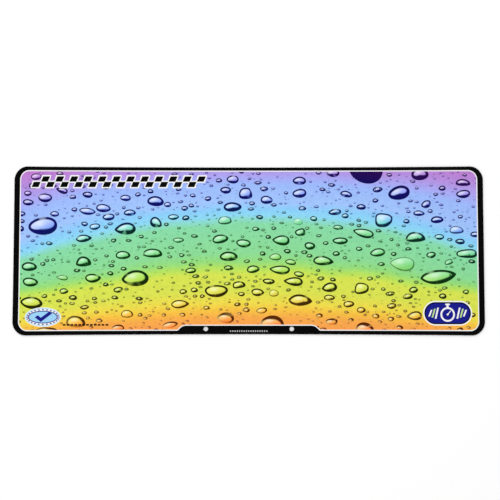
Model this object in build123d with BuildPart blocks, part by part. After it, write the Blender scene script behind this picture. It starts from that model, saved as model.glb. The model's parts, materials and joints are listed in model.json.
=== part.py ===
"""Table mat for timed cup stacking: a cloth-faced sponge-rubber sheet that a timer clips on to.

The mat is a laminate of flat layers, bonded in the sheet and then die-cut in one stroke, so every
layer has the same outline and the same two holes. The pegs of the timer pass through the holes.

Millimetres. The origin is the middle of the underside. +X runs along the mat, +Y points away from
the player, so the timer sits at the -Y edge, and +Z is up.
"""

import os

from build123d import *

# Outline of the cutting die
length = 730
depth = 260
corner_radius = 20

# Peg holes of the timer, in a row close to the front edge
peg_hole_radius = 3.75
peg_hole_spacing = 133
peg_row_from_front_edge = 8.5

# Thickness of each layer, from the table up
layer_thickness = {
    "grip_sheet": 0.5,
    "base_adhesive_film": 0.1,
    "sponge_core": 2.1,
    "face_adhesive_film": 0.1,
    "face_cloth": 0.4,
}

peg_row_y = peg_row_from_front_edge - depth / 2

os.makedirs("parts", exist_ok=True)

underside = 0
for name, thickness in layer_thickness.items():
    with BuildPart() as layer:
        with BuildSketch(Plane.XY.offset(underside)):
            RectangleRounded(length, depth, corner_radius)
            with Locations((-peg_hole_spacing / 2, peg_row_y), (peg_hole_spacing / 2, peg_row_y)):
                Circle(peg_hole_radius, mode=Mode.SUBTRACT)
        extrude(amount=thickness)
    layer.part.label = name
    export_step(layer.part, f"parts/{name}.step")
    underside += thickness
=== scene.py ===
"""Looks of a cup stacking mat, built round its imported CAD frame.

The mat is a die-cut laminate that lies on a table. Each CAD layer is stood for by a finer mesh of the
same layer: a printed knit cloth, two adhesive films, a sponge core whose cells are cut open at the
edge, and a grip sheet with an embossed underside. All of them follow one shape, made by `laid`, so
they stay bonded to each other where the mat isn't quite flat.

The picture is dyed into the cloth. Its outlines are edges of the cloth's mesh, with one ink to a
face. Each water drop of the picture carries its own coordinates in two attributes, and the dye's
material shades the drop from them.

Lengths are millimetres in the CAD's frame until a mesh is made, and a point of the mat's plan is a
complex number, x + y * 1j.
"""

import cmath
import functools
import json
import math
import random
from collections import namedtuple

import bpy
import numpy as np
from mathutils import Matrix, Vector, geometry


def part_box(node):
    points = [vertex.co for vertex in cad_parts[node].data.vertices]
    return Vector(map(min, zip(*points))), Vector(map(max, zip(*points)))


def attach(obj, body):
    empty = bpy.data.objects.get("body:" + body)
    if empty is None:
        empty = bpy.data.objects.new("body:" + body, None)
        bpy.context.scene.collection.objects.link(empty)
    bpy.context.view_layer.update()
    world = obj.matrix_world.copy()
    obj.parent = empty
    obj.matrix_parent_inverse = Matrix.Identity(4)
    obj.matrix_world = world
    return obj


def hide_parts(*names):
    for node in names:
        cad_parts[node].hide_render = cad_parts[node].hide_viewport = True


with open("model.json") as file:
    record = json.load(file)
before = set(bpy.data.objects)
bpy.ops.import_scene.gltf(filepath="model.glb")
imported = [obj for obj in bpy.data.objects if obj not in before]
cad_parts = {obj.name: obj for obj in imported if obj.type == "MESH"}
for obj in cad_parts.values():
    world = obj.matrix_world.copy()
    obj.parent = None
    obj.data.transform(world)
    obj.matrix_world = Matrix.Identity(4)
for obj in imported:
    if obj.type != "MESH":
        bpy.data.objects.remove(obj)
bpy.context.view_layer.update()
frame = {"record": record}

MM = 0.001

# Plan of the mat
back_right_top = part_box("face_cloth")[1]
half_length = back_right_top.x / MM
half_depth = back_right_top.y / MM
thickness = back_right_top.z / MM
corner_radius = 20
peg_holes = [
    (complex(mount["pos_m"][0], mount["pos_m"][1]) / MM, mount["dims"]["r_mm"])
    for mount in frame["record"]["mounts"]
    if mount["kind"] == "bore"
]

# How the mat lies: a faint wave toward its edges, corners that lift a little, a cut edge pressed down.
# Its long edges are drawn out at the corners, and in at the middle. The powers say how closely the
# wave and the flare keep to the edges.
edge_wave = 0.25
edge_wave_power = 4
ripple_reach_x = 34
ripple_reach_y = 41
ripple_skew = 130
ripple_phase = 0.7
front_flare = 2.2
front_waist = 0.7
back_flare = 1.85
back_waist = 0.35
flare_power = 16
corner_lift = {(-1, -1): 0.9, (1, -1): 0.5, (1, 1): 0.8, (-1, 1): 0.3}
corner_lift_reach = 75
cut_dip = 0.25
cut_dip_reach = 0.9

# Printed border: black, a white keyline, then the picture
side_border = 8.9
back_border = 5.2
front_border = 5.9
panel_radius = 14
keyline = 1.5
tab_depth = 13.7
tab_foot = 109.7
tab_shoulder = 102
tab_slope = 45
tab_foot_radius = 2
tab_least_radius = 0.3
tab_shoulder_radius = 13

# The rainbow's bands are arcs, which bow most along the mat's middle line and drift a little
rainbow_middle = 12
rainbow_radius = 1600
rainbow_bow_least = 0.6
rainbow_bow_gain = 0.85
rainbow_bow_peak = 0
rainbow_bow_reach = 80
rainbow_drift = 14.0
rainbow_drift_scale = 11.0
rainbow_low = -130
rainbow_high = 155

# How finely things are meshed: points on arcs and round holes, along the cut edge, and across layers.
# A patch smaller than corners_only keeps no points but its corners.
arc_step = 1.2
least_hole_sides = 24
edge_step = 5
cloth_step = 12
layer_step = 20
cut_margin = 4
corners_only = 20
merge_distance = 1e-5
sharp_angle = 50


# ---------------------------------------------------------------------------- plan outlines


def rounded(corners, step):
    """A closed outline through (x, y, radius) corners, each rounded to an arc.

    Its points are about a step apart, and closer on the arcs.
    """
    points = [complex(x, y) for x, y, _ in corners]
    arcs = []
    for i, (_, _, radius) in enumerate(corners):
        incoming = points[i] - points[i - 1]
        outgoing = points[(i + 1) % len(points)] - points[i]
        incoming /= abs(incoming)
        outgoing /= abs(outgoing)
        turn = cmath.phase(outgoing / incoming)
        start = points[i] - incoming * radius * math.tan(abs(turn) / 2)
        centre = start + incoming * 1j * math.copysign(radius, turn)
        pieces = math.ceil(abs(turn) * radius / min(step, arc_step))
        if pieces:
            arcs.append([
                centre + (start - centre) * cmath.exp(1j * turn * k / pieces)
                for k in range(pieces + 1)
            ])
        else:
            arcs.append([points[i]])
    outline = []
    for arc, following in zip(arcs, arcs[1:] + arcs[:1]):
        gap = following[0] - arc[-1]
        pieces = max(1, round(abs(gap) / step))
        outline += arc
        outline += [arc[-1] + gap * k / pieces for k in range(1, pieces)]
    return outline


def circle(centre, radius, sides):
    """A circle's outline, anticlockwise."""
    return [centre + cmath.rect(radius, math.tau * k / sides) for k in range(sides)]


def rectangle(centre, width, height, radius=0, slant=0):
    """Corners of a rectangle whose top is pushed along by the slant."""
    corners = []
    for across, up in ((-1, -1), (1, -1), (1, 1), (-1, 1)):
        x = centre.real + (across * width + up * slant) / 2
        y = centre.imag + up * height / 2
        corners.append((x, y, radius))
    return corners


def panel_outline(inset):
    """Outline of the printed panel, moved inward, with the notch that goes round the tab."""
    side = half_length - side_border - inset
    back = half_depth - back_border - inset
    front = front_border - half_depth + inset
    tab_top = tab_depth - half_depth + inset
    slope_shift = inset * math.tan(math.radians(tab_slope / 2))
    foot = tab_foot + slope_shift
    shoulder = tab_shoulder + slope_shift
    radius = panel_radius - inset
    foot_radius = max(tab_foot_radius - inset, tab_least_radius)
    shoulder_radius = tab_shoulder_radius + inset
    return rounded([
        (-side, front, radius),
        (-foot, front, foot_radius),
        (-shoulder, tab_top, shoulder_radius),
        (shoulder, tab_top, shoulder_radius),
        (foot, front, foot_radius),
        (side, front, radius),
        (side, back, radius),
        (-side, back, radius),
    ], step=8)


def cut_edges(step):
    """The mat's outline and holes as (points, outward normals) pairs, with the material on the left."""
    outline = np.array(rounded(rectangle(0j, 2 * half_length, 2 * half_depth, corner_radius), step))
    across = outline.real - np.clip(outline.real, corner_radius - half_length, half_length - corner_radius)
    along = outline.imag - np.clip(outline.imag, corner_radius - half_depth, half_depth - corner_radius)
    outward = across + 1j * along
    edges = [(outline, outward / abs(outward))]
    for centre, radius in peg_holes:
        sides = max(least_hole_sides, round(math.tau * radius / step))
        rim = np.array(circle(centre, radius, sides))[::-1]
        edges.append((rim, (centre - rim) / radius))
    return edges


def distance_from_cut(plan):
    """How far each point is from the nearest cut edge."""
    across = abs(plan.real) - half_length + corner_radius
    along = abs(plan.imag) - half_depth + corner_radius
    beyond = np.hypot(np.maximum(across, 0), np.maximum(along, 0))
    distance = corner_radius - beyond - np.minimum(np.maximum(across, along), 0)
    for centre, radius in peg_holes:
        distance = np.minimum(distance, abs(plan - centre) - radius)
    return np.maximum(distance, 0)


def fill(loops, patches=(), loose=()):
    """Triangulates the plan between its loops, which have the material on their left.

    Patches' outlines become edges too, and loose points become corners. Returns the points, the
    triangles, the patches that cover each triangle, and where the loops' own points are.
    """
    points = []
    faces = []
    for outline in [*loops, *patches]:
        faces.append(list(range(len(points), len(points) + len(outline))))
        points.extend(outline)
    points.extend(loose)
    places = [Vector((point.real, point.imag)) for point in points]
    inside_faces = 1
    made = geometry.delaunay_2d_cdt(places, [], faces, inside_faces, merge_distance)
    coordinates, _, triangles, sources, _, covering = made
    plan = np.array([complex(*place) for place in coordinates])
    whole = set(range(len(loops)))
    kept = []
    covers = []
    for triangle, covered_by in zip(triangles, covering):
        if whole.issubset(covered_by):
            kept.append(triangle)
            covers.append({face - len(loops) for face in covered_by if face >= len(loops)})
    used, kept = np.unique(kept, return_inverse=True)
    place_of = {index: place for place, index in enumerate(used.tolist())}
    index_of = {source: place_of.get(index) for index, found in enumerate(sources) for source in found}
    loop_places = [[index_of[i] for i in faces[loop]] for loop in range(len(loops))]
    return plan[used], kept.reshape(-1, 3), covers, loop_places


# ---------------------------------------------------------------------------- layers as meshes


def laid(plan, height):
    """Points in metres of the mat as it lies, from the flat mat's plan and heights."""
    x, y = plan.real, plan.imag
    from_middle = np.clip(np.maximum(abs(x) / half_length, abs(y) / half_depth), 0, 1) ** edge_wave_power
    ripple = np.sin(x / ripple_reach_x + ripple_phase) * np.cos(y / ripple_reach_y + x / ripple_skew)
    wave = edge_wave * from_middle * (1 + ripple)
    lift = np.zeros(len(plan))
    for (side, end), most in corner_lift.items():
        near = 1 - abs(plan - complex(side * half_length, end * half_depth)) / corner_lift_reach
        lift += most * np.clip(near, 0, 1) ** 2
    dip = cut_dip * height / thickness * np.exp(-((distance_from_cut(plan) / cut_dip_reach) ** 2))
    flare = np.where(y > 0, back_flare, front_flare) * (x / half_length) ** 2
    outward = (flare - np.where(y > 0, back_waist, front_waist)) * (y / half_depth) ** flare_power
    return np.column_stack((x, y + np.sign(y) * outward, height + wave + lift - dip)) * MM


def shell(name, edges, profile, top, bottom, bottom_heights=None, pits=0):
    """A closed layer: a bottom, a cut edge that follows the profile's (inset, height) rows, and a top.

    Top and bottom come from `fill`, on the profile's last and first rows. The mesh's faces are the
    top's triangles, in order, and then the rest. Pits, up to so deep, mark the cut edge's inner rows.
    """
    chance = np.random.default_rng(5)
    top_plan, top_triangles, _, top_loops = top
    bottom_plan, bottom_triangles, _, bottom_loops = bottom
    plans = [top_plan, bottom_plan]
    heights = [np.full(len(top_plan), profile[-1][1])]
    heights.append(np.full(len(bottom_plan), profile[0][1]) if bottom_heights is None else bottom_heights)
    count = len(top_plan) + len(bottom_plan)
    faces = top_triangles.tolist()
    faces += (bottom_triangles[:, ::-1] + len(top_plan)).tolist()
    for (points, normals), top_loop, bottom_loop in zip(edges, top_loops, bottom_loops):
        rows = [[index + len(top_plan) for index in bottom_loop]]
        for inset, height in profile[1:-1]:
            plans.append(points - normals * (inset + pits * chance.random(len(points)) ** 2))
            heights.append(np.full(len(points), height))
            rows.append(list(range(count, count + len(points))))
            count += len(points)
        rows.append(top_loop)
        for lower, upper in zip(rows, rows[1:]):
            for here in range(len(points)):
                there = (here + 1) % len(points)
                faces.append((lower[here], lower[there], upper[there], upper[here]))
    mesh = bpy.data.meshes.new(name)
    mesh.from_pydata(laid(np.concatenate(plans), np.concatenate(heights)).tolist(), [], faces)
    mesh.shade_smooth()
    mesh.set_sharp_from_angle(angle=math.radians(sharp_angle))
    piece = bpy.data.objects.new(name, mesh)
    bpy.context.scene.collection.objects.link(piece)
    return piece


def loops_at(edges, inset):
    """The cut edges moved into the material."""
    return [points - normals * inset for points, normals in edges]


def grid(step, margin):
    """Plan points on a grid, no nearer to a cut edge than the margin."""
    across = np.arange(-half_length, half_length, step) + step / 2
    along = np.arange(-half_depth, half_depth, step) + step / 2
    points = (across[:, None] + 1j * along[None, :]).ravel()
    return points[distance_from_cut(points) > margin]


def stand_for(piece, node, slot, *materials):
    """The piece takes the CAD node's place and rides on its body."""
    for material in materials:
        piece.data.materials.append(material)
    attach(piece, "root")
    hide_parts(node)
    return piece


# ---------------------------------------------------------------------------- the picture

Drop = namedtuple("Drop", "centre width height weight lean outline")
Patch = namedtuple("Patch", "ink outline drop", defaults=(None,))

# The inks, in the order of the cloth's materials, and which patch is the picture's ground
INKS = ["picture", "black", "white", "navy", "sky", "lime", "grey"]
PICTURE = 1

# A drop's shape: how pointed its left and right ends are, how flat its foot is, how square it is
drop_shapes = {
    "oval": (0, 0, 0, 0),
    "tail_left": (0.5, 0, 0, 0),
    "tail_right": (0, 0.5, 0, 0),
    "lens": (0.35, 0.55, 0, 0),
    "dome": (0, 0, 0.6, 0),
    "pebble": (0, 0, 0, 1),
}

# The largest drops, placed as (x, y, width, height), by shape. A fifth number is the weight
# of the drop's rim where it is unusual, and a sixth is how far it leans, in degrees.
large_drops = {
    "oval": [
        (-320, 38, 45, 28, 1.15, 6), (234, 90, 34, 22, 1.25, 10), (183, 124, 52, 39, 1.9, -5),
        (-50, -63, 36, 19), (-317, 82, 22, 14), (-343, 75, 17, 10), (-251, 87, 16, 10, 1.1, -8),
        (-226, 66, 23, 13), (-192, 82, 17, 10), (-218, 52, 19, 11), (-185, 59, 19, 10),
        (-239, 37, 17, 10, 0.8), (-145, 77, 26, 16), (-117, 52, 17, 9), (-109, 16, 17, 8, 0.8),
        (-25, 111, 19, 13), (-36, 94, 17, 11), (-25, 68, 28, 15, 1.2), (-44, 18, 25, 14),
        (-8, 11, 23, 13), (-195, -7, 23, 13),
        (-340, -25, 24, 14), (-338, -49, 24, 14), (-31, -9, 28, 15), (7, -29, 20, 12), (31, -48, 19, 9),
        (28, 79, 19, 13), (79, 109, 21, 13), (79, 89, 22, 14), (95, 7, 17, 12), (131, 121, 21, 13),
        (152, 88, 19, 10, 1.1, -14), (134, 60, 20, 10), (139, 36, 16, 8), (142, 15, 24, 11),
        (125, -73, 17, 9), (128, -110, 19, 10), (155, -83, 17, 10), (174, -92, 14, 9),
        (267, 119, 27, 19, 1.2), (334, 88, 22, 13), (293, 48, 20, 11, 1.2), (296, 21, 15, 9),
        (328, 14, 15, 9), (353, 25, 18, 9), (283, -7, 15, 10), (255, -61, 14, 10), (246, -71, 16, 9),
        (221, -86, 15, 9), (-286, -63, 14, 9), (-202, -61, 15, 9), (-90, -31, 17, 9), (-31, -27, 15, 8),
        (65, -18, 17, 9, 0.8, -10), (78, -37, 16, 9, 0.9, -10), (20, -93, 17, 9, 0.8, 8),
        (175, 68, 15, 9), (39, -66, 15, 11, 0.5), (24, 96, 13, 8), (150, 54, 11, 8),
        (-331, 115, 17, 10, 0.7), (-335, 101, 15, 10), (219, -67, 15, 7), (-272, -73, 13, 8),
        (-354, 34, 10, 9, 1.3), (-353, 57, 12, 8),
    ],
    "tail_left": [
        (-291, 94, 19, 10, 1.1, -18), (-302, 57, 14, 9), (-192, 34, 33, 19, 1.1), (-176, -43, 42, 25, 1.1),
        (-36, -104, 27, 17), (50, 16, 27, 16), (48, -30, 32, 14, 0.9, -5), (125, -57, 24, 15),
        (69, -48, 30, 14), (41, -10, 19, 11, 0.6), (178, 27, 33, 14, 0.8, -12), (256, -101, 24, 14),
        (276, 72, 16, 12, 1, 20), (200, -3, 24, 13), (238, -21, 38, 22, 0.4, -4),
        (-289, -42, 18, 8, 0.6, -8), (-254, -88, 14, 7),
    ],
    "tail_right": [
        (-241, -43, 25, 14), (14, -65, 20, 12, 1, -8), (116, -16, 32, 15, 1, -7), (201, 95, 16, 9),
        (265, 58, 18, 9, 1, -5), (-144, 43, 20, 16, 1, -35),
    ],
    "lens": [
        (-336, -81, 35, 19), (-106, -83, 28, 13, 0.8), (80, -77, 37, 18), (294, -41, 56, 22, 1, 8),
        (-256, 19, 25, 12, 1, 6), (-251, 61, 26, 11, 0.8, -8), (-121, -115, 24, 10, 0.7, 8),
    ],
    "dome": [
        (-256, -17, 24, 16), (-149, -4, 30, 14), (-37, 47, 21, 13, 0.6), (-267, -110, 30, 18),
        (334, 106, 23, 11), (36, -111, 37, 21), (179, -120, 28, 18), (-188, -98, 19, 12, 0.7),
        (259, 21, 31, 16), (323, 32, 22, 12, 0.6), (-202, -119, 20, 9, 0.8), (77, 45, 14, 10, 0.3),
    ],
    "pebble": [
        (-5, 89, 21, 18, 0.8), (210, 47, 27, 22, 0.7), (175, -59, 22, 18, 0.7), (-312, -123, 34, 9),
        (80, 28, 16, 12, 1, 15), (338, -5, 32, 14), (-15, -53, 20, 11, 1, 10), (310, -18, 13, 8, 0.7, 18),
    ],
}

# Smaller drops are scattered, as (count, narrowest, widest), from large to small
scattered_drops = [(130, 8, 12), (280, 5, 8), (420, 2.8, 5)]
scattered_shapes = ["oval"] * 7 + ["tail_left", "tail_right", "dome", "pebble"]
scattered_x = (-355, 355)
scattered_y = (-125, 124)
scattered_flatness = (0.5, 0.75)
scattered_gap = 1.2

# They stay so far from the peg holes, where an outline would cut the rim
hole_margin = 12

# How unlike each other the drops are, where nothing else is said
drop_weights = (0.85, 1.15)
drop_leans = (-6, 6)
drop_unevenness = 0.03

# No drop comes nearer to the mat's edge than this, and a larger drop has more sides
drop_margin = 2
drop_sides_to_width = 2.4
least_drop_sides = 12
most_drop_sides = 64

# Rings of points inside a drop, as shares of its size, if it is wider than so many millimetres
drop_rings = [(16, (0.88, 0.72, 0.45)), (6, (0.6,)), (0, ())]


def drop_shape(shape, sides, chance):
    """A drop's outline in a square from -1 to 1, about its own middle."""
    left, right, foot, square = drop_shapes[shape]
    most_taper = 0.38
    most_squareness = 0.2
    blunt = 1e-3
    turn = np.linspace(0, math.tau, sides, endpoint=False)
    across = np.cos(turn)
    up = np.sin(turn)
    from_left = (1 + across) / 2 + blunt
    from_right = (1 - across) / 2 + blunt
    up *= from_left ** (most_taper * left) * from_right ** (most_taper * right)
    up = np.where(up < 0, up * (1 - foot), up)
    across = np.sign(across) * abs(across) ** (1 - most_squareness * square)
    up = np.sign(up) * abs(up) ** (1 - most_squareness * square)
    uneven = drop_unevenness + drop_unevenness * square
    swell = 1
    for waves in (2, 3):
        swell = swell + uneven * np.cos(waves * turn + chance.uniform(0, 6))
    outline = (across + 1j * up) * swell
    outline -= complex(outline.real.max() + outline.real.min(), outline.imag.max() + outline.imag.min()) / 2
    return outline.real / abs(outline.real).max() + 1j * outline.imag / abs(outline.imag).max()


def make_drop(chance, shape, x, y, width, height, weight=None, lean=None):
    """One drop, with more sides the larger it is. It stays inside the mat's outline."""
    if weight is None:
        weight = chance.uniform(*drop_weights)
    if lean is None:
        lean = chance.uniform(*drop_leans)
    sides = int(np.clip(width * drop_sides_to_width, least_drop_sides, most_drop_sides))
    turned = cmath.exp(1j * math.radians(lean))
    square = drop_shape(shape, sides, chance)
    outline = complex(x, y) + turned * (square.real * width / 2 + 1j * square.imag * height / 2)
    outline.real = np.clip(outline.real, drop_margin - half_length, half_length - drop_margin)
    outline.imag = np.clip(outline.imag, drop_margin - half_depth, half_depth - drop_margin)
    return Drop(complex(x, y), width, height, weight, turned, outline)


def make_drops():
    """All the picture's drops: the large ones, and smaller ones wherever they are clear of the rest."""
    chance = random.Random(11)
    drops = []
    for shape, places in large_drops.items():
        drops += [make_drop(chance, shape, *place) for place in places]
    taken = [(drop.centre, drop.width, drop.height) for drop in drops]
    for count, narrowest, widest in scattered_drops:
        wanted = len(taken) + count
        while len(taken) < wanted:
            centre = complex(chance.uniform(*scattered_x), chance.uniform(*scattered_y))
            width = chance.uniform(narrowest, widest)
            height = width * chance.uniform(*scattered_flatness)
            if min(abs(centre - hole) for hole, _ in peg_holes) < hole_margin:
                continue
            away = np.array([place for place, _, _ in taken]) - centre
            room_x = np.array([other for _, other, _ in taken]) / 2 + width / 2 + scattered_gap
            room_y = np.array([other for _, _, other in taken]) / 2 + height / 2 + scattered_gap
            if np.hypot(away.real / room_x, away.imag / room_y).min() < 1:
                continue
            taken.append((centre, width, height))
            shape = chance.choice(scattered_shapes)
            drops.append(make_drop(chance, shape, centre.real, centre.imag, width, height))
    return drops


def chequered_band(left, right, middle, height, slant):
    """Slanted black chequers in two rows, edged in white: a start and finish line."""
    row_height = height / 2
    stretch = 1.3
    columns = round((right - left) / (stretch * row_height))
    column_width = (right - left) / columns
    patches = []
    for ink, edging, radius in (("white", 3.6, 1.5), ("black", -0.2, 0.4)):
        for column in range(columns):
            up = (column % 2 - 0.5) * row_height
            centre = complex(left + (column + 0.5) * column_width + up * slant / height, middle + up)
            chequer = rectangle(centre, column_width + edging, row_height + edging, radius, slant / 2)
            patches.append(Patch(ink, rounded(chequer, step=6)))
    return patches


def oval(centre, width, height, sides=64):
    """An oval's outline, anticlockwise."""
    return [centre + complex(place.real * width, place.imag * height) / 2 for place in circle(0j, 1, sides)]


def tick_badge(centre, width, height):
    """An oval light blue seal with a ring of dashes and a tick in it."""
    ring_inset = 3.7
    dashes = 24
    dash_width = 2.6
    dash_height = 1.7
    tick_width = 1.7
    tick_height = 1.05
    tick = [(-0.5, -0.02), (-0.12, -0.48), (0.56, 0.36), (0.36, 0.52), (-0.13, -0.06), (-0.3, 0.18)]
    patches = []
    for ink, inset in (("white", 0), ("sky", 1.1), ("white", 2.2)):
        patches.append(Patch(ink, oval(centre, width - 2 * inset, height - 2 * inset)))
    for place in oval(0j, width - 2 * ring_inset, height - 2 * ring_inset, dashes):
        dash = rectangle(centre + place, dash_width, dash_height)
        patches.append(Patch("navy", rounded(dash, corners_only)))
    for ink, inset in (("navy", 5.2), ("sky", 6.6)):
        patches.append(Patch(ink, oval(centre, width - 2 * inset, height - 2 * inset)))
    corners = [centre + complex(x * tick_width, y * tick_height) * height / 2 for x, y in tick]
    patches.append(Patch("navy", corners))
    return patches


def stopwatch_badge(centre, width, height):
    """A dark blue badge with a white stopwatch between slanted bars."""
    face = centre - 2j
    reach = height * 0.33
    hand_width = 1.3
    hand_turn = cmath.exp(-0.7j)
    bar_width = 2.6
    bar_slant = 4
    bar_pitch = 5
    bar_gap = 5.5
    patches = []
    for ink, inset in (("white", -2), ("black", 0), ("navy", 2)):
        pill = rectangle(centre, width - 2 * inset, height - 2 * inset, height / 2 - inset)
        patches.append(Patch(ink, rounded(pill, step=4)))
    for above, across, tall, radius, step in ((2, 3.4, 5, 0, 9), (4.4, 7.5, 2.4, 1, 2)):
        knob = rectangle(face + 1j * (reach + above), across, tall, radius)
        patches.append(Patch("white", rounded(knob, step)))
    for ink, share, sides in (("white", 1, 48), ("navy", 0.76, 48), ("white", 0.14, 16)):
        patches.append(Patch(ink, circle(face, reach * share, sides)))
    hand = rectangle(0.33j * reach, hand_width, 0.66 * reach)
    patches.append(Patch("white", [face + hand_turn * complex(x, y) for x, y, _ in hand]))
    for side in (-1, 1):
        for bar, ink in enumerate(("white", "lime", "white")):
            place = centre + side * (reach + bar_gap + bar_pitch * bar)
            slanted = rectangle(place, bar_width, height * (0.5 - 0.1 * bar), 0, bar_slant)
            patches.append(Patch(ink, rounded(slanted, corners_only)))
    return patches


def row_of_marks(ink, left, right, middle, width, height, pitch):
    """Plain dashes in a row, in the place of small print."""
    patches = []
    for k in range(int((right - left) / pitch) + 1):
        mark = rectangle(complex(left + k * pitch, middle), width, height)
        patches.append(Patch(ink, rounded(mark, corners_only)))
    return patches


def make_patches(drops):
    """Everything printed, in the order of printing: a later patch covers an earlier one."""
    patches = [Patch("white", panel_outline(0)), Patch("picture", panel_outline(keyline))]
    patches += [Patch("picture", drop.outline, drop) for drop in drops]
    patches += chequered_band(left=-335, right=-70, middle=107.3, height=17, slant=7)
    patches += tick_badge(complex(-318, -103), width=56, height=30)
    patches += stopwatch_badge(complex(307.5, -97), width=72, height=34)
    patches += row_of_marks("black", left=-285, right=-219, middle=-115, width=4.4, height=2.6, pitch=6)
    patches += row_of_marks("grey", left=-28, right=28, middle=-125, width=1.8, height=2.4, pitch=3.5)
    return patches


def points_inside(drops):
    """Points on rings inside each drop, so that what its corners carry blends evenly across it."""
    points = []
    for drop in drops:
        rings = next(shares for width, shares in drop_rings if drop.width > width)
        points.append(drop.centre)
        for share in rings:
            points += list(drop.centre + (drop.outline[::2] - drop.centre) * share)
    return points


def depth_in(outline, points):
    """Each point's distance from a closed outline."""
    ends = np.roll(outline, -1)
    spans = ends - outline
    offsets = points[:, None] - outline[None, :]
    along = np.clip((offsets * spans.conj()).real / np.maximum(abs(spans) ** 2, 1e-9), 0, 1)
    return abs(offsets - along * spans).min(axis=1)


def printed_on(covers, patches):
    """The index of the patch that shows on each triangle, or -1 on the bare border.

    A drop shows only where the picture's ground is under it.
    """
    showing = []
    for covered_by in covers:
        if PICTURE not in covered_by:
            covered_by = {index for index in covered_by if patches[index].drop is None}
        showing.append(max(covered_by, default=-1))
    return np.array(showing)


def print_picture(piece, plan, triangles, showing, patches):
    """Gives the cloth's faces their inks, and its drops the coordinates that shade them.

    drop_place holds u and v, from -1 to 1 across the drop, and the depth from its rim.
    drop_look holds half the drop's height, a number of its own, and its rim's weight.
    """
    mesh = piece.data
    black = INKS.index("black")
    golden_ratio = 0.618
    inks = np.full(len(mesh.polygons), black)
    inks[: len(triangles)] = [INKS.index(patches[k].ink) if k >= 0 else black for k in showing]
    mesh.polygons.foreach_set("material_index", inks.astype(np.int32))
    place = np.zeros((len(mesh.loops), 3), np.float32)
    look = np.zeros((len(mesh.loops), 3), np.float32)
    for index in np.unique(showing[showing >= 0]):
        drop = patches[index].drop
        if drop is None:
            continue
        faces = np.flatnonzero(showing == index)
        corners = (faces[:, None] * 3 + np.arange(3)).ravel()
        points = plan[triangles[faces].ravel()]
        across = (points - drop.centre) / drop.lean
        place[corners, 0] = across.real / (drop.width / 2)
        place[corners, 1] = across.imag / (drop.height / 2)
        place[corners, 2] = depth_in(drop.outline, points)
        look[corners] = (drop.height / 2, (index * golden_ratio) % 1, drop.weight)
    for name, values in (("drop_place", place), ("drop_look", look)):
        mesh.attributes.new(name, "FLOAT_VECTOR", "CORNER").data.foreach_set("vector", values.ravel())


# ---------------------------------------------------------------------------- materials


def srgb(red, green, blue):
    """A colour from its 0 to 255 screen values."""
    linear = []
    for value in (red / 255, green / 255, blue / 255):
        linear.append(value / 12.92 if value <= 0.04045 else ((value + 0.055) / 1.055) ** 2.4)
    return (*linear, 1)


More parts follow.
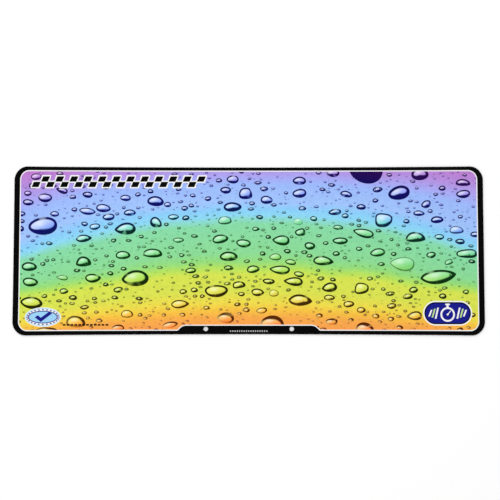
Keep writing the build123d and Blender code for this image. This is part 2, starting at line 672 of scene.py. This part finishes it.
class Recipe:
    """One material's node tree, built step by step. A step takes numbers or earlier steps' outputs."""

    def __init__(self, name):
        self.material = bpy.data.materials.new(name)
        self.material.use_nodes = True
        self.tree = self.material.node_tree
        self.shader = self.tree.nodes["Principled BSDF"]

    def node(self, kind, inputs=(), **settings):
        """A new node with its settings, and its inputs by name or place."""
        made = self.tree.nodes.new(kind)
        for name, value in settings.items():
            setattr(made, name, value)
        for socket, value in dict(inputs).items():
            self.feed(made.inputs[socket], value)
        return made

    def feed(self, socket, value):
        """Links an output to a socket, or sets the socket to a constant."""
        if isinstance(value, bpy.types.NodeSocket):
            self.tree.links.new(value, socket)
        else:
            socket.default_value = value

    def math(self, operation, *values):
        """A Math node's output."""
        return self.node("ShaderNodeMath", enumerate(values), operation=operation).outputs[0]

    def step(self, value, start, end):
        """0 below start, 1 above end, and smooth between them."""
        inputs = {"Value": value, "From Min": start, "From Max": end}
        return self.node("ShaderNodeMapRange", inputs, interpolation_type="SMOOTHSTEP").outputs["Result"]

    def total(self, *values):
        """All the values added up."""
        return functools.reduce(lambda one, other: self.math("ADD", one, other), values)

    def product(self, *values):
        """All the values multiplied."""
        return functools.reduce(lambda one, other: self.math("MULTIPLY", one, other), values)

    def mix(self, share, one, other, blend_type="MIX"):
        """Two colours blended by the share."""
        inputs = {0: share, 6: one, 7: other}
        return self.node("ShaderNodeMix", inputs, data_type="RGBA", blend_type=blend_type).outputs[2]

    def blend(self, share, one, other):
        """Two numbers blended by the share."""
        return self.node("ShaderNodeMix", {0: share, 2: one, 3: other}, data_type="FLOAT").outputs[0]

    def noise(self, place, scale, detail=2.0, roughness=0.5):
        """A noise texture's value, from 0 to 1."""
        inputs = {"Vector": place, "Scale": scale, "Detail": detail, "Roughness": roughness}
        return self.node("ShaderNodeTexNoise", inputs).outputs["Fac"]

    def parts(self, vector):
        """A vector's x, y and z."""
        return self.node("ShaderNodeSeparateXYZ", {0: vector}).outputs

    def scaled(self, vector, factors):
        """A vector times another."""
        return self.node("ShaderNodeVectorMath", {0: vector, 1: factors}, operation="MULTIPLY").outputs[0]

    def place(self):
        """The place on the object, in metres."""
        return self.node("ShaderNodeTexCoord").outputs["Object"]

    def attribute(self, name):
        """A mesh attribute's vector."""
        return self.node("ShaderNodeAttribute", attribute_name=name).outputs["Vector"]

    def ramp(self, value, stops):
        """A colour ramp over (place along the rainbow, screen colour) stops."""
        made = self.node("ShaderNodeValToRGB", {"Fac": value})
        elements = made.color_ramp.elements
        while len(elements) < len(stops):
            elements.new(0)
        for element, (place, colour) in zip(elements, stops):
            element.position = (place - rainbow_low) / (rainbow_high - rainbow_low)
            element.color = srgb(*colour)
        return made.outputs["Color"]

    def bump(self, height, distance, strength=1.0):
        """Raises the surface by the height, which runs from 0 to 1, times the distance in metres."""
        inputs = {"Height": height, "Distance": distance, "Strength": strength}
        self.feed(self.shader.inputs["Normal"], self.node("ShaderNodeBump", inputs).outputs["Normal"])

    def finish(self, colour, **constants):
        """Sets the shader's colour and its constants, which are named as its sockets are."""
        self.feed(self.shader.inputs["Base Color"], colour)
        for name, value in constants.items():
            self.feed(self.shader.inputs[name.replace("_", " ")], value)
        return self.material


# Colours along the rainbow, from the front of the mat to the back, as (place, screen colour)
ground_colours = [
    (-125, (250, 155, 80)), (-104, (250, 170, 76)), (-93, (249, 193, 68)), (-80, (240, 220, 76)),
    (-62, (219, 226, 82)), (-37, (217, 228, 82)), (-27, (185, 227, 94)), (-16, (150, 221, 125)),
    (-3, (141, 219, 150)), (41, (137, 219, 167)), (49, (141, 219, 208)), (55, (142, 216, 243)),
    (65, (141, 206, 250)), (76, (161, 196, 251)), (104, (158, 186, 250)), (116, (172, 166, 241)),
    (130, (183, 142, 221)), (143, (190, 128, 210)), (155, (198, 112, 202)),
]
rim_colours = [
    (-120, (88, 20, 0)), (-95, (80, 42, 0)), (-60, (38, 34, 0)), (-30, (8, 42, 5)), (10, (2, 54, 14)),
    (45, (0, 42, 32)), (60, (2, 28, 78)), (80, (5, 8, 100)), (110, (12, 6, 88)), (140, (45, 2, 74)),
]
light_colours = [
    (-120, (255, 222, 168)), (-90, (255, 240, 130)), (-50, (246, 250, 122)), (-20, (205, 250, 150)),
    (5, (185, 249, 195)), (46, (188, 250, 200)), (56, (196, 251, 240)), (65, (208, 240, 255)),
    (80, (215, 230, 255)), (112, (215, 222, 255)), (128, (225, 205, 250)), (150, (232, 200, 246)),
]
deep_colours = [
    (-120, (255, 100, 28)), (-95, (250, 165, 50)), (-60, (205, 205, 60)), (-30, (150, 215, 70)),
    (10, (105, 208, 112)), (46, (98, 204, 122)), (56, (80, 205, 190)), (64, (85, 172, 242)),
    (75, (100, 140, 248)), (106, (115, 122, 246)), (122, (146, 100, 224)), (150, (165, 92, 198)),
]


def rainbow_place(recipe):
    """The place, how far along the rainbow it is in millimetres, and the same from 0 to 1 for ramps."""
    place = recipe.place()
    x, y, _ = recipe.parts(recipe.scaled(place, (1 / MM, 1 / MM, 1 / MM)))
    beyond = recipe.product(recipe.total(y, -rainbow_bow_peak), 1 / rainbow_bow_reach)
    peak = recipe.math("EXPONENT", recipe.product(beyond, beyond, -1.0))
    bow = recipe.total(recipe.product(peak, rainbow_bow_gain), rainbow_bow_least)
    aside = recipe.total(x, -rainbow_middle)
    drift = recipe.product(recipe.total(recipe.noise(place, rainbow_drift_scale), -0.5), rainbow_drift)
    along = recipe.total(y, recipe.product(aside, aside, bow, 0.5 / rainbow_radius), drift)
    return place, along, recipe.product(recipe.total(along, -rainbow_low), 1 / (rainbow_high - rainbow_low))


def specks(recipe, place, colour, cell, largest):
    """The finest droplets: light above and dark below, one to a cell, each with a size of its own."""
    flatness = 0.6
    flat = recipe.scaled(place, (1 / (cell * MM), 1 / (flatness * cell * MM), 0.0))
    cells = recipe.node("ShaderNodeTexVoronoi", {"Vector": flat, "Scale": 1.0}, voronoi_dimensions="2D")
    chance = recipe.parts(cells.outputs["Color"])[0]
    radius = recipe.math("MAXIMUM", recipe.product(chance, chance, largest), 0.02)
    inside = recipe.step(recipe.math("DIVIDE", cells.outputs["Distance"], radius), 1.0, 0.5)
    ends = {0: flat, 1: cells.outputs["Position"]}
    offset = recipe.node("ShaderNodeVectorMath", ends, operation="SUBTRACT")
    up = recipe.math("DIVIDE", recipe.parts(offset.outputs[0])[1], radius)
    tone = recipe.mix(recipe.step(up, -0.6, 0.6), (0.38, 0.44, 0.44, 1), (1.1, 1.1, 1.08, 1))
    tinted = recipe.mix(1.0, colour, tone, "MULTIPLY")
    return recipe.mix(recipe.product(inside, 0.8), colour, tinted)


def drop_rim(recipe, along, drop_place, drop_look):
    """How dark a drop's rim is, from 0 to 1. It is heaviest below, but above in the orange."""
    u, v, depth = drop_place
    half_height, seed, weight = drop_look
    reach = recipe.math("SQRT", recipe.total(recipe.product(u, u), recipe.product(v, v), 0.002))
    aside = recipe.math("DIVIDE", u, reach)
    upward = recipe.math("DIVIDE", v, reach)
    cool = recipe.step(along, 20.0, 75.0)
    warm = recipe.step(along, -75.0, -108.0)

    # Its heavy side is the lower right, or straight below in the blue, or the upper right in the orange
    heavy_x = recipe.blend(cool, 0.45, 0.15)
    heavy_y = recipe.blend(warm, recipe.blend(cool, -0.75, -1.0), 0.75)
    toward = recipe.total(recipe.product(aside, heavy_x), recipe.product(upward, heavy_y))
    lobe = recipe.step(toward, -0.2, 1.0)

    # How wide the rim is
    radius = recipe.math("MINIMUM", half_height, 11.0)
    thin = recipe.total(recipe.product(radius, 0.25), 0.9)
    thick = recipe.total(recipe.product(radius, recipe.blend(cool, 0.52, 0.66)), 1.15)
    width = recipe.product(recipe.blend(lobe, thin, thick), weight)
    solid = recipe.step(recipe.math("DIVIDE", depth, width), 1.15, 0.75)

    # How dark it is: a little less on small drops, in the blue only away from the heavy side, and less
    # where the drop's weight is light
    size = recipe.step(half_height, 1.2, 3.5)
    strength = recipe.blend(size, recipe.blend(cool, 0.85, recipe.blend(lobe, 0.55, 1.0)), 1.0)
    strength = recipe.product(strength, recipe.math("MINIMUM", recipe.total(weight, 0.3), 1.0))

    # Where it fades: below in the orange, and in gaps round the drops whose weight isn't heavy
    round_drop = recipe.node("ShaderNodeCombineXYZ", {0: aside, 1: upward, 2: recipe.product(seed, 37.0)})
    gap = recipe.step(recipe.noise(round_drop.outputs[0], 1.1, 0.0), 0.6, 0.8)
    gap = recipe.product(gap, recipe.step(weight, 1.6, 1.2), 0.6)
    weak = recipe.math("MAXIMUM", recipe.product(warm, recipe.step(toward, 0.1, -0.9)), gap)
    return recipe.product(solid, strength, recipe.total(1.0, recipe.product(weak, -0.8)))


def picture_colour(recipe):
    """The rainbow with its drops."""
    place, along, share = rainbow_place(recipe)
    mottle = recipe.step(recipe.noise(place, 190.0, 3.0, 0.65), 0.25, 0.8)
    mottle = recipe.mix(mottle, (0.9, 0.93, 0.94, 1), (1.04, 1.03, 1.03, 1))
    ground = recipe.mix(1.0, recipe.ramp(share, ground_colours), mottle, "MULTIPLY")
    ground = specks(recipe, place, ground, cell=9.0, largest=0.3)

    # Inside, a drop is light at the upper left, with a glint, and deep at the lower right
    drop_place = recipe.parts(recipe.attribute("drop_place"))
    drop_look = recipe.parts(recipe.attribute("drop_look"))
    u, v, _ = drop_place
    half_height, _, weight = drop_look
    size = recipe.step(half_height, 1.5, 6.0)
    toward_foot = recipe.total(recipe.product(u, 0.35), recipe.product(v, -0.55))
    tone = recipe.step(toward_foot, -0.5, 0.5)
    deep = recipe.ramp(share, deep_colours)
    inside = recipe.mix(tone, recipe.ramp(share, light_colours), deep)
    body = recipe.mix(recipe.blend(size, 0.45, 0.25), inside, ground)
    from_glint = recipe.math("SQRT", recipe.total(
        recipe.math("POWER", recipe.total(u, 0.2), 2.0), recipe.math("POWER", recipe.total(v, -0.3), 2.0)
    ))
    body = recipe.mix(recipe.product(recipe.step(from_glint, 0.5, 0.0), 0.35), body, (0.95, 0.97, 0.98, 1))

    # Its rim, which is paler on the smallest drops
    small_rim = recipe.mix(1.0, deep, (0.4, 0.42, 0.5, 1), "MULTIPLY")
    ink = recipe.mix(recipe.step(half_height, 1.0, 3.2), small_rim, recipe.ramp(share, rim_colours))
    drop = recipe.mix(drop_rim(recipe, along, drop_place, drop_look), body, ink)
    return recipe.mix(recipe.math("GREATER_THAN", weight, 0.01), ground, drop)


def ridges(recipe, along, pitch):
    """Ridges from 0 to 1 across a direction, a pitch apart in millimetres."""
    phase = recipe.math("MULTIPLY", along, math.pi / (pitch * MM))
    return recipe.math("ABSOLUTE", recipe.math("SINE", phase))


def dyed_cloth(name, colour_of, gloss):
    """Smooth knitted polyester, dyed through: fine wales across fine courses, painted shade in the knit's
    hollows, and a dull sheen.
    """
    recipe = Recipe(name)
    place = recipe.place()
    x, y, _ = recipe.parts(place)
    knit = recipe.math("MULTIPLY", ridges(recipe, x, 0.55), ridges(recipe, y, 0.42))
    fuzz = recipe.noise(place, 2600.0, 2.0)
    height = recipe.math("ADD", recipe.math("MULTIPLY", knit, 0.7), recipe.math("MULTIPLY", fuzz, 0.3))
    recipe.bump(height, 0.03 * MM, 0.6)
    # Painted shade in the knit's hollows and painted light on its crowns, from the same ridges as the bump
    knit_painted_light = recipe.mix(knit, (0.93, 0.93, 0.93, 1), (1.03, 1.03, 1.03, 1))
    colour = recipe.mix(1.0, colour_of(recipe), knit_painted_light, "MULTIPLY")
    roughness = recipe.blend(fuzz, 0.78, 0.92)
    return recipe.finish(
        colour, Roughness=roughness, Specular_IOR_Level=gloss, Sheen_Weight=gloss / 3, Sheen_Roughness=0.6
    )


def solid_dye(*colour):
    """A flat ink, faintly uneven as dye is in cloth."""
    def colour_of(recipe):
        uneven = recipe.noise(recipe.place(), 320.0, 3.0, 0.6)
        full = srgb(*colour)
        least = 0.86
        thin = [value * least for value in full[:3]]
        return recipe.mix(uneven, (*thin, 1), full)

    return colour_of


def black_dye(recipe):
    """Deep black, with paler fibres where it has worn."""
    wear = recipe.step(recipe.noise(recipe.place(), 900.0, 4.0, 0.7), 0.5, 0.8)
    return recipe.mix(wear, srgb(2, 2, 3), srgb(18, 18, 21))


def sponge_rubber():
    """Black sponge rubber, with open cells where it was cut, and painted shade in the cells' hollows."""
    recipe = Recipe("sponge_rubber")
    place = recipe.place()
    spacing = {"Vector": place, "Scale": 3600.0}
    cells = recipe.node("ShaderNodeTexVoronoi", spacing, feature="DISTANCE_TO_EDGE")
    hollow_and_painted_shade = recipe.step(cells.outputs["Distance"], 0.0, 0.25)
    recipe.bump(recipe.math("SUBTRACT", 1.0, hollow_and_painted_shade), 0.12 * MM, 0.8)
    dust = recipe.noise(place, 260.0, 3.0, 0.6)
    bright = recipe.mix(dust, srgb(34, 34, 36), srgb(52, 52, 54))
    # Painted shade: the cells' hollows are near black and their walls paler
    colour = recipe.mix(hollow_and_painted_shade, bright, srgb(15, 15, 16))
    return recipe.finish(colour, Roughness=recipe.blend(hollow_and_painted_shade, 0.72, 0.95), Specular_IOR_Level=0.25)


def grip_rubber():
    """Thin solid rubber with a fine matt grain."""
    recipe = Recipe("grip_rubber")
    place = recipe.place()
    grain = recipe.noise(place, 2200.0, 4.0, 0.65)
    recipe.bump(grain, 0.03 * MM, 0.7)
    scuff = recipe.step(recipe.noise(place, 40.0, 5.0, 0.7), 0.45, 0.75)
    colour = recipe.mix(scuff, srgb(24, 24, 25), srgb(44, 44, 45))
    return recipe.finish(colour, Roughness=recipe.blend(grain, 0.55, 0.8), Specular_IOR_Level=0.4)


def adhesive_film():
    """Hot-melt film: milky and slightly glossy, uneven where it was pressed out."""
    recipe = Recipe("adhesive_film")
    place = recipe.place()
    flow = recipe.noise(place, 420.0, 3.0, 0.6)
    recipe.bump(flow, 0.02 * MM, 0.5)
    colour = recipe.mix(flow, srgb(96, 92, 82), srgb(128, 124, 112))
    return recipe.finish(colour, Roughness=recipe.blend(flow, 0.3, 0.5), Specular_IOR_Level=0.5)


def floor_paint():
    """A plain pale floor with a barely seen unevenness."""
    recipe = Recipe("floor_paint")
    cloud = recipe.noise(recipe.place(), 2.0, 3.0)
    colour = recipe.mix(cloud, (0.975, 0.975, 0.975, 1), (0.99, 0.99, 0.99, 1))
    return recipe.finish(colour, Roughness=0.7, Specular_IOR_Level=0.1)


# ---------------------------------------------------------------------------- the mat's layers


def heights_of(node):
    """The lowest and highest heights of a CAD layer."""
    return [corner.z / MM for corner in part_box(node)]


def make_cloth():
    """The printed face: its picture is part of its mesh, and its edge is rounded over by the die."""
    lowest, highest = heights_of("face_cloth")
    rounding = [(0, 0.14), (0.05, 0.04), (0.16, 0)]
    profile = [(0, lowest)] + [(inset, highest - drop) for inset, drop in rounding]
    insets_near_cut = (0.5, 1.0, 1.8, 3.0)
    edges = cut_edges(edge_step)
    drops = make_drops()
    patches = make_patches(drops)
    near_cut = [point for inset in insets_near_cut for loop in loops_at(edges, inset) for point in loop]
    loose = [*near_cut, *grid(cloth_step, cut_margin), *points_inside(drops)]
    top = fill(loops_at(edges, profile[-1][0]), [patch.outline for patch in patches], loose)
    bottom = fill(loops_at(edges, 0), (), grid(layer_step, cut_margin))
    piece = shell("printed_cloth", edges, profile, top, bottom)
    plan, triangles, covers, _ = top
    print_picture(piece, plan, triangles, printed_on(covers, patches), patches)
    dyes = {
        "picture": picture_colour,
        "black": black_dye,
        "white": solid_dye(250, 250, 250),
        "navy": solid_dye(18, 22, 140),
        "sky": solid_dye(160, 215, 250),
        "lime": solid_dye(190, 225, 140),
        "grey": solid_dye(190, 190, 190),
    }
    plain_gloss = 0.12
    glosses = {"black": 0.04, "picture": 0.05}
    cloths = [dyed_cloth(f"cloth_{ink}", dyes[ink], glosses.get(ink, plain_gloss)) for ink in INKS]
    return stand_for(piece, "face_cloth", "printed_cloth", *cloths)


def make_film(node):
    """A hot-melt film, which stops a hair short of the cut where the die drew it in."""
    lowest, highest = heights_of(node)
    shortfall = 0.02
    hollow = 0.08
    profile = [(shortfall, lowest), (hollow, (lowest + highest) / 2), (shortfall, highest)]
    edges = cut_edges(edge_step)
    cap = fill(loops_at(edges, shortfall), (), grid(layer_step, cut_margin))
    piece = shell(f"{node}_layer", edges, profile, cap, cap)
    return stand_for(piece, node, "adhesive", adhesive_film())


def make_sponge():
    """The core: its cut edge is slightly hollow and pitted by the cells that the die opened."""
    lowest, highest = heights_of("sponge_core")
    cell = 0.8
    pit_depth = 0.22
    hollow = 0.12
    rows = 7
    behind = 2
    edges = cut_edges(cell)
    profile = [
        (hollow * math.sin(math.pi * row / rows), lowest + (highest - lowest) * row / rows)
        for row in range(rows + 1)
    ]
    behind_cut = [point for loop in loops_at(cut_edges(edge_step), behind) for point in loop]
    cap = fill(loops_at(edges, 0), (), [*behind_cut, *grid(layer_step, cut_margin)])
    piece = shell("sponge_core_cells", edges, profile, cap, cap, pits=pit_depth)
    return stand_for(piece, "sponge_core", "sponge_rubber", sponge_rubber())


def make_grip():
    """The base: its underside is embossed with small pyramids that bite on the table."""
    lowest, highest = heights_of("grip_sheet")
    pitch = 2.5
    relief = 0.2
    flat_rim = 2
    edges = cut_edges(edge_step)
    bottom = fill(loops_at(edges, 0), (), grid(pitch, pitch))
    plan = bottom[0]
    column = np.round((plan.real + half_length) / pitch - 0.5)
    row = np.round((plan.imag + half_depth) / pitch - 0.5)
    on_table = ((column + row) % 2 == 0) | (distance_from_cut(plan) < flat_rim)
    heights = np.where(on_table, lowest, lowest + relief)
    profile = [(0, lowest), (0, highest)]
    top = fill(loops_at(edges, 0), (), grid(layer_step, cut_margin))
    piece = shell("grip_sheet_embossed", edges, profile, top, bottom, heights)
    return stand_for(piece, "grip_sheet", "grip_rubber", grip_rubber())


# ---------------------------------------------------------------------------- studio


def make_studio():
    """A plain pale floor, an even sky and a large soft light."""
    bpy.ops.mesh.primitive_plane_add(size=12, location=(0, 0, 0))
    floor = bpy.context.object
    floor.name = "floor"
    floor.data.materials.append(floor_paint())
    world = bpy.data.worlds.new("sky")
    bpy.context.scene.world = world
    world.use_nodes = True
    sky = world.node_tree.nodes["Background"]
    sky.inputs["Color"].default_value = (1, 1, 1, 1)
    sky.inputs["Strength"].default_value = 0.62
    softbox = bpy.data.lights.new("softbox", "AREA")
    softbox.shape = "RECTANGLE"
    softbox.size = 2.6
    softbox.size_y = 2.0
    softbox.energy = 34
    lamp = bpy.data.objects.new("softbox", softbox)
    bpy.context.scene.collection.objects.link(lamp)
    lamp.location = (-0.35, 0.45, 2.3)
    lamp.rotation_euler = Vector(lamp.location).to_track_quat("Z", "Y").to_euler()


def make_camera():
    """Almost straight above, and a little to the front. The mat nearly fills the picture's width."""
    distance = 1.3
    tilt = math.radians(3.1)
    share_of_width = 0.9408
    camera = bpy.data.cameras.new("camera")
    camera.sensor_width = 36
    camera.lens = camera.sensor_width * distance * share_of_width / (2 * half_length * MM)
    camera.shift_x = 0.0026
    camera.shift_y = 0.0010
    stand = bpy.data.objects.new("camera", camera)
    bpy.context.scene.collection.objects.link(stand)
    stand.location = (0, -distance * math.sin(tilt), distance * math.cos(tilt) + thickness * MM)
    stand.rotation_euler = (tilt, 0, 0)
    bpy.context.scene.camera = stand


make_camera()
make_studio()
make_grip()
make_film("base_adhesive_film")
sponge = make_sponge()
make_film("face_adhesive_film")
cloth = make_cloth()

bpy.context.scene.view_settings.view_transform = "Standard"
